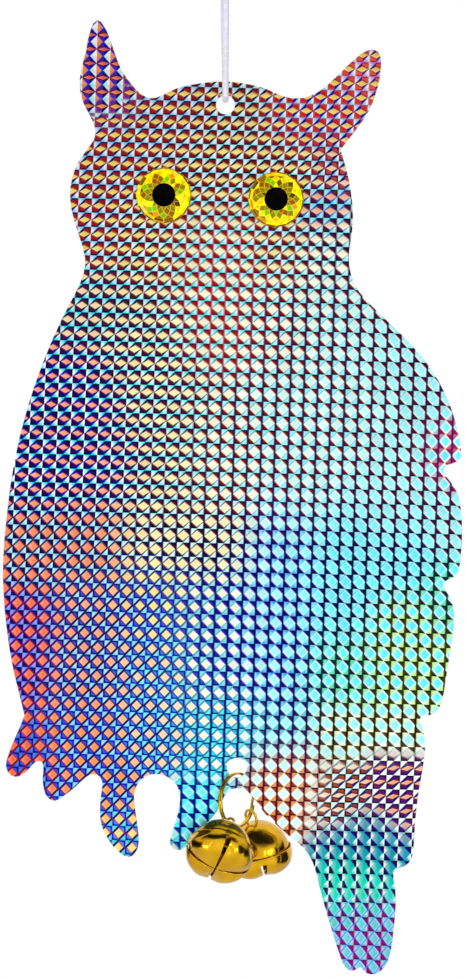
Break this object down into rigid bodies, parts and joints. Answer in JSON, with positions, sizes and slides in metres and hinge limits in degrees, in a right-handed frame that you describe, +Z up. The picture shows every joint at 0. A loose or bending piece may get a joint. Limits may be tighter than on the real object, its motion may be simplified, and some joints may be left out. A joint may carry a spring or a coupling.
{
  "type": "hanging bird scarer",
  "caption": "Flat owl-shaped plate in prismatic laser film with stick-on gem eyes, on a cord loop through its head, with gold jingle bells on a split ring at its feet",
  "frame": {"origin": "the inner top of the cord loop, right under its knot, where a hook takes the loop", "axes": "+Z up along the cord, the front face of the owl looks to -Y, +X to the right in the front view"},
  "size_m": [0.1781, 0.0499, 0.4035],
  "materials": {
    "core": "white, cut edge",
    "film": "prismatic laser film, mirror gloss",
    "pad": "adhesive foam",
    "foil": "yellow mirror foil",
    "gem": "clear faceted acrylic over yellow foil",
    "pupil": "black gloss",
    "cord": "white twisted cord",
    "ring": "polished gold plate",
    "bell": "polished gold plate",
    "pellet": "plain"
  },
  "bodies": {
    "hanger": {"cord_knot": "cord", "cord_tail_left": "cord", "cord_tail_right": "cord"},
    "cord_loop": {"hanging_cord": "cord"},
    "owl": {"core_board": "core", "front_film": "film", "rear_film": "film", "front_left_eye_pad": "pad", "front_left_eye_foil": "foil", "front_left_eye_gem": "gem", "front_left_eye_pupil": "pupil", "front_right_eye_pad": "pad", "front_right_eye_foil": "foil", "front_right_eye_gem": "gem", "front_right_eye_pupil": "pupil", "rear_left_eye_pad": "pad", "rear_left_eye_foil": "foil", "rear_left_eye_gem": "gem", "rear_left_eye_pupil": "pupil", "rear_right_eye_pad": "pad", "rear_right_eye_foil": "foil", "rear_right_eye_gem": "gem", "rear_right_eye_pupil": "pupil"},
    "ring": {"split_ring": "ring"},
    "left_bell": {"left_bell_dome": "bell", "left_bell_cup": "bell", "left_bell_bail": "ring"},
    "right_bell": {"right_bell_dome": "bell", "right_bell_cup": "bell", "right_bell_bail": "ring"},
    "left_pellet": {"left_bell_pellet": "pellet"},
    "right_pellet": {"right_bell_pellet": "pellet"}
  },
  "joints": [
    {"name": "cord_twist", "type": "hinge", "parent": "hanger", "child": "cord_loop", "pos_m": [0, 0, 0], "axis": [0, 0, 1], "range_deg": [-180, 180]},
    {"name": "owl_rock", "type": "hinge", "parent": "cord_loop", "child": "owl", "pos_m": [0, 0, -0.0408], "axis": [0, 1, 0], "range_deg": [-25, 25]},
    {"name": "ring_turn", "type": "hinge", "parent": "owl", "child": "ring", "pos_m": [0.00472, 0, -0.3141], "axis": [0.788, -0.6157, 0], "range_deg": [-12, 20]},
    {"name": "left_bell_swing", "type": "hinge", "parent": "ring", "child": "left_bell", "pos_m": [0.00107, -0.00468, -0.32258], "axis": [0.5043, 0.6455, -0.5736], "range_deg": [-40, 14]},
    {"name": "right_bell_swing", "type": "hinge", "parent": "ring", "child": "right_bell", "pos_m": [0.00974, 0.00643, -0.32047], "axis": [0.379, 0.4851, 0.788], "range_deg": [-8, 20]},
    {"name": "left_pellet_roll", "type": "hinge", "parent": "left_bell", "child": "left_pellet", "pos_m": [-0.00194, -0.01494, -0.33267], "axis": [0.2042, 0.698, 0.6864], "range_deg": [-60, 60]},
    {"name": "right_pellet_roll", "type": "hinge", "parent": "right_bell", "child": "right_pellet", "pos_m": [0.01288, 0.00941, -0.33452], "axis": [-0.2132, -0.2033, 0.9556], "range_deg": [-60, 60]}
  ]
}
